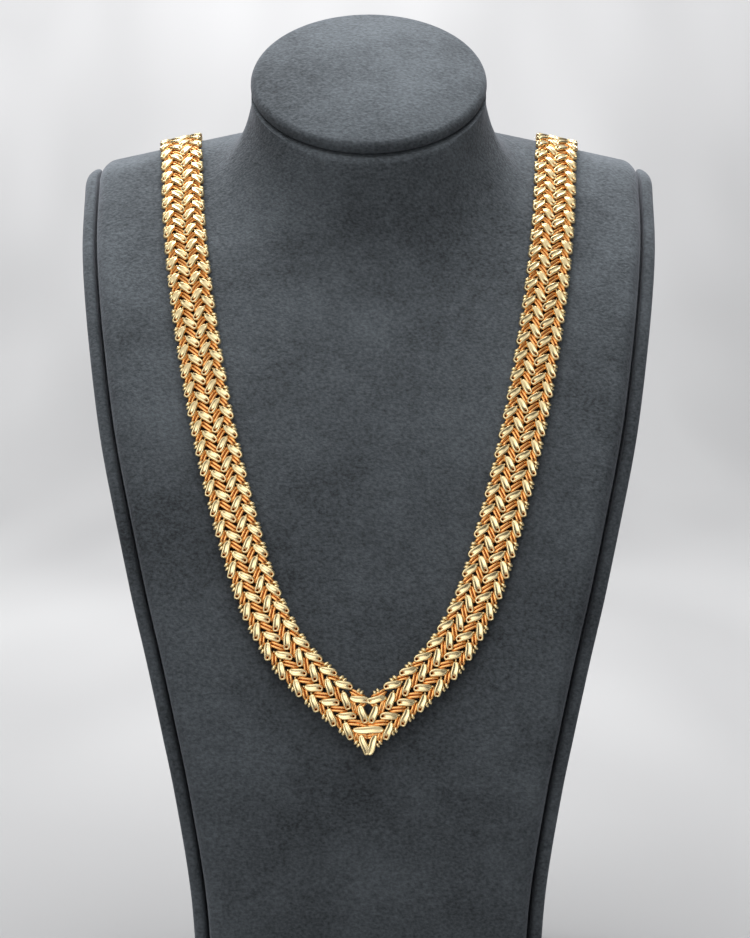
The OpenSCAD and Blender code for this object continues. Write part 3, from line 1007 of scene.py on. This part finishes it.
class ChainSettings(bpy.types.PropertyGroup):
    """The chain's links, wires and gold"""
    link_length: FloatProperty(
        name="Link length", description="Length of one link in millimetres",
        min=4, max=7, default=5.75)
    link_width: FloatProperty(
        name="Link width", description="Width of one link in millimetres",
        min=1.5, max=3, default=2.4)
    wire_diameter: FloatProperty(
        name="Wire", description="Diameter of the wires between the links in millimetres",
        min=0.3, max=1.1, default=1.0)
    gold_colour: FloatVectorProperty(
        name="Gold colour", description="Colour of the links' rims", subtype="COLOR",
        size=3, min=0, max=1, default=(1.0, 0.80, 0.44))
    # Painted shade and warm reflection between the links: a deeper orange gold for the wires and the links'
    # flanks
    shaded_gold_colour: FloatVectorProperty(
        name="Wire colour", description="Colour of the wires and the links' flanks", subtype="COLOR",
        size=3, min=0, max=1, default=(0.97, 0.46, 0.14))
    gold_roughness: FloatProperty(
        name="Gold roughness", description="Roughness of the polished gold", subtype="FACTOR",
        min=0.05, max=0.6, default=0.27)


class StageSettings(bpy.types.PropertyGroup):
    """The cloth and the lights round the bust"""
    # Painted shade: the floor end of the cloth is painted darker
    floor_shaded_colour: FloatVectorProperty(
        name="Floor colour", description="Colour of the cloth on the floor", subtype="COLOR",
        size=3, min=0, max=1, default=(0.265, 0.265, 0.268))
    # Painted light: the wall end of the cloth is painted lighter
    wall_lit_colour: FloatVectorProperty(
        name="Wall colour", description="Colour of the cloth on the wall", subtype="COLOR",
        size=3, min=0, max=1, default=(0.56, 0.56, 0.568))
    top_light: FloatProperty(
        name="Top light", description="Power of the light over the bust", unit="POWER",
        min=0, default=22.0)
    front_light: FloatProperty(
        name="Front light", description="Power of the light in front of the bust", unit="POWER",
        min=0, default=2.4)
    rear_light: FloatProperty(
        name="Rear light", description="Power of the light behind the bust", unit="POWER",
        min=0, default=10.0)
    wall_light: FloatProperty(
        name="Wall light", description="Power of the light on the backdrop", unit="POWER",
        min=0, default=47.0)
    card_light: FloatProperty(
        name="Cards", description="Power per square metre of the cards that only the gold mirrors",
        unit="POWER", min=0, default=2.8)
    world_light: FloatProperty(
        name="World light", description="Strength of the even light from all round",
        min=0, default=0.13)


# Operators


class CHAINBUST_OT_front_pad(bpy.types.Operator):
    """Build the padded front with the neck that runs into it"""
    bl_idname = "chainbust.front_pad"
    bl_label = "Padded front"

    def execute(self, context):
        points, faces = joined([panel_shell(), neck_shell()])
        made = make_object("front_pad", points, faces, sharp=60)
        finish_piece(made, suede_material(context.scene.chainbust_bust), "bust_front")
        return {"FINISHED"}


class CHAINBUST_OT_back_cover(bpy.types.Operator):
    """Build the back body whose edge shows round the padded front"""
    bl_idname = "chainbust.back_cover"
    bl_label = "Back body"

    def execute(self, context):
        points, faces = joined([back_shell(), mirrored(*strip_shell())])
        made = make_object("back_cover", points, faces, sharp=60)
        finish_piece(made, suede_material(context.scene.chainbust_bust), "bust_back")
        return {"FINISHED"}


class CHAINBUST_OT_cap_pad(bpy.types.Operator):
    """Build the slanted cap of the neck"""
    bl_idname = "chainbust.cap_pad"
    bl_label = "Neck cap"

    def execute(self, context):
        points, faces = cap_shell()
        made = make_object("cap_pad", points, faces, sharp=70)
        finish_piece(made, suede_material(context.scene.chainbust_bust), "neck_cap")
        return {"FINISHED"}


class CHAINBUST_OT_chain_links(bpy.types.Operator):
    """Build the four columns of slanted links on both arms"""
    bl_idname = "chainbust.chain_links"
    bl_label = "Chain links"

    def execute(self, context):
        settings = context.scene.chainbust_chain
        shape = link_shape(settings.link_length, settings.link_width)
        parts = []
        for c in range(4):
            s = column_places(c)
            u = column_u(c, s)
            angle = lower_angle(c, s)
            parts.append(part(shape, copies(shape, s, u, angle, CHAIN_T)))
        made = make_object("chain_links", *both_arms(parts), sharp=75)
        finish_piece(made, gold_material(settings), "chain")
        return {"FINISHED"}


class CHAINBUST_OT_chain_wires(bpy.types.Operator):
    """Build the paired wires between the links and the bright wire ends beside them"""
    bl_idname = "chainbust.chain_wires"
    bl_label = "Chain wires"

    def execute(self, context):
        settings = context.scene.chainbust_chain
        dot = knob_shape(*DOT_SIZE)
        away = settings.link_length / 2
        parts = []
        for c in range(4):
            path = wire_path(*WIRE_ENDS[c], WIRE_DIP, WIRE_REACH)
            wire = tube_shape(path, settings.wire_diameter / 2)
            s = column_places(c, PITCH / 2, -1 if c < 3 else 0)
            s = s[s > 0]
            angle = lower_angle(c, s)
            for offset in WIRE_OFFSETS:
                wire_s = s - np.sin(angle) * offset
                wire_u = column_u(c, s) + np.cos(angle) * offset
                parts.append(part(wire, copies(wire, wire_s, wire_u, angle, CHAIN_T - WIRE_DEPTH)))
            s = column_places(c)
            angle = lower_angle(c, s)
            dot_s = s - np.cos(angle) * away
            dot_u = column_u(c, s) - np.sin(angle) * away
            parts.append(part(dot, copies(dot, dot_s, dot_u, angle, CHAIN_T - DOT_DEPTH)))
        made = make_object("chain_wires", *both_arms(parts))
        finish_piece(made, gold_material(settings), "chain")
        return {"FINISHED"}


class CHAINBUST_OT_chain_edges(bpy.types.Operator):
    """Build the pairs of rounded wire ends along both edges of the band"""
    bl_idname = "chainbust.chain_edges"
    bl_label = "Chain edges"

    def execute(self, context):
        settings = context.scene.chainbust_chain
        knob = knob_shape(*KNOB_SIZE)
        parts = []
        for c, sign in ((0, 1), (3, -1)):
            for shift in KNOB_SHIFTS:
                s = column_places(c, shift)
                u = column_u(c, s) + sign * KNOB_OUT
                angle = np.full(len(s), math.pi / 2 + sign * KNOB_LEAN)
                parts.append(part(knob, copies(knob, s, u, angle, CHAIN_T - KNOB_DEPTH)))
        made = make_object("chain_edges", *both_arms(parts))
        finish_piece(made, gold_material(settings), "chain")
        return {"FINISHED"}


class CHAINBUST_OT_chain_point(bpy.types.Operator):
    """Build the links of the point, where the two arms meet"""
    bl_idname = "chainbust.chain_point"
    bl_label = "Chain point"

    def execute(self, context):
        settings = context.scene.chainbust_chain
        half = POINT_WIRE_HALF
        wire = tube_shape(wire_path(half, half, POINT_WIRE_DIP, half), POINT_WIRE_R)
        parts = []
        # Each shape, its places, and how high its top stands over the links' top in mm
        for shape, places, over in (
            (link_shape(*BAR_SIZE), POINT_BAR, 0.05),
            (link_shape(*WING_SIZE), both_sides(POINT_WINGS), -0.1),
            (link_shape(*TIP_SIZE), both_sides(POINT_TIPS), 0.0),
            (knob_shape(*POINT_KNOB_SIZE), both_sides(POINT_KNOBS), -1.2),
            (wire, both_sides(POINT_WIRES), -1.25),
        ):
            x, z, angle = np.array(places).T
            parts.append(part(shape, point_copies(shape, x, z, np.radians(angle), CHAIN_T + over)))
        made = make_object("chain_point", *one_mesh(parts), sharp=75)
        finish_piece(made, gold_material(settings), "chain")
        return {"FINISHED"}


class CHAINBUST_OT_clasp(bpy.types.Operator):
    """Build the plain clasp at the back of the chain"""
    bl_idname = "chainbust.clasp"
    bl_label = "Clasp"

    def execute(self, context):
        points, faces = clasp_shell()
        made = make_object("clasp_box", points, faces, np.full(len(points), 0.95), sharp=40)
        finish_piece(made, gold_material(context.scene.chainbust_chain), "clasp")
        return {"FINISHED"}


class CHAINBUST_OT_stage(bpy.types.Operator):
    """Build the pale floor and backdrop, the lights and the camera"""
    bl_idname = "chainbust.stage"
    bl_label = "Stage"

    def execute(self, context):
        settings = context.scene.chainbust_stage
        floor = make_backdrop(settings)
        for name, at, target, size, mirrored_too in LIGHTS:
            light = add_area(name, at, target, size, getattr(settings, name))
            light.visible_glossy = mirrored_too
        for name, at, target, size, share in CARDS:
            card = add_area(name, at, target, size, settings.card_light * share * size ** 2)
            card.visible_diffuse = False
        world = bpy.data.worlds.new("studio")
        world.use_nodes = True
        background = world.node_tree.nodes["Background"]
        background.inputs["Color"].default_value = (0.95, 0.97, 1.0, 1)
        background.inputs["Strength"].default_value = settings.world_light
        context.scene.world = world
        context.scene.view_settings.view_transform = "Standard"
        add_camera(context.scene)
        return {"FINISHED"}


# Panel and registration


class CHAINBUST_PT_panel(bpy.types.Panel):
    """Sizes, colours and steps of the chain on its bust"""
    bl_idname = "CHAINBUST_PT_panel"
    bl_label = "Chain bust"
    bl_space_type = "VIEW_3D"
    bl_region_type = "UI"
    bl_category = "Chain bust"

    def draw(self, context):
        for group in (getattr(context.scene, name) for name in GROUPS):
            box = self.layout.box()
            for name in group.__annotations__:
                box.prop(group, name)
        for operator in OPERATORS:
            self.layout.operator(operator.bl_idname)


OPERATORS = (
    CHAINBUST_OT_front_pad,
    CHAINBUST_OT_back_cover,
    CHAINBUST_OT_cap_pad,
    CHAINBUST_OT_chain_links,
    CHAINBUST_OT_chain_wires,
    CHAINBUST_OT_chain_edges,
    CHAINBUST_OT_chain_point,
    CHAINBUST_OT_clasp,
    CHAINBUST_OT_stage,
)
GROUPS = {
    "chainbust_bust": BustSettings,
    "chainbust_chain": ChainSettings,
    "chainbust_stage": StageSettings,
}


def register():
    """Registers the settings, the steps and the panel, and hangs the settings on the scene."""
    for cls in (*GROUPS.values(), *OPERATORS, CHAINBUST_PT_panel):
        bpy.utils.register_class(cls)
    for name, group in GROUPS.items():
        setattr(bpy.types.Scene, name, PointerProperty(type=group))


def unregister():
    """Takes back what register() did."""
    for name in GROUPS:
        delattr(bpy.types.Scene, name)
    for cls in reversed((*GROUPS.values(), *OPERATORS, CHAINBUST_PT_panel)):
        bpy.utils.unregister_class(cls)


def main():
    """Builds every piece and the stage in order."""
    register()
    bpy.ops.chainbust.front_pad()
    bpy.ops.chainbust.back_cover()
    bpy.ops.chainbust.cap_pad()
    bpy.ops.chainbust.chain_links()
    bpy.ops.chainbust.chain_wires()
    bpy.ops.chainbust.chain_edges()
    bpy.ops.chainbust.chain_point()
    bpy.ops.chainbust.clasp()
    bpy.ops.chainbust.stage()


if __name__ == "__main__":
    main()
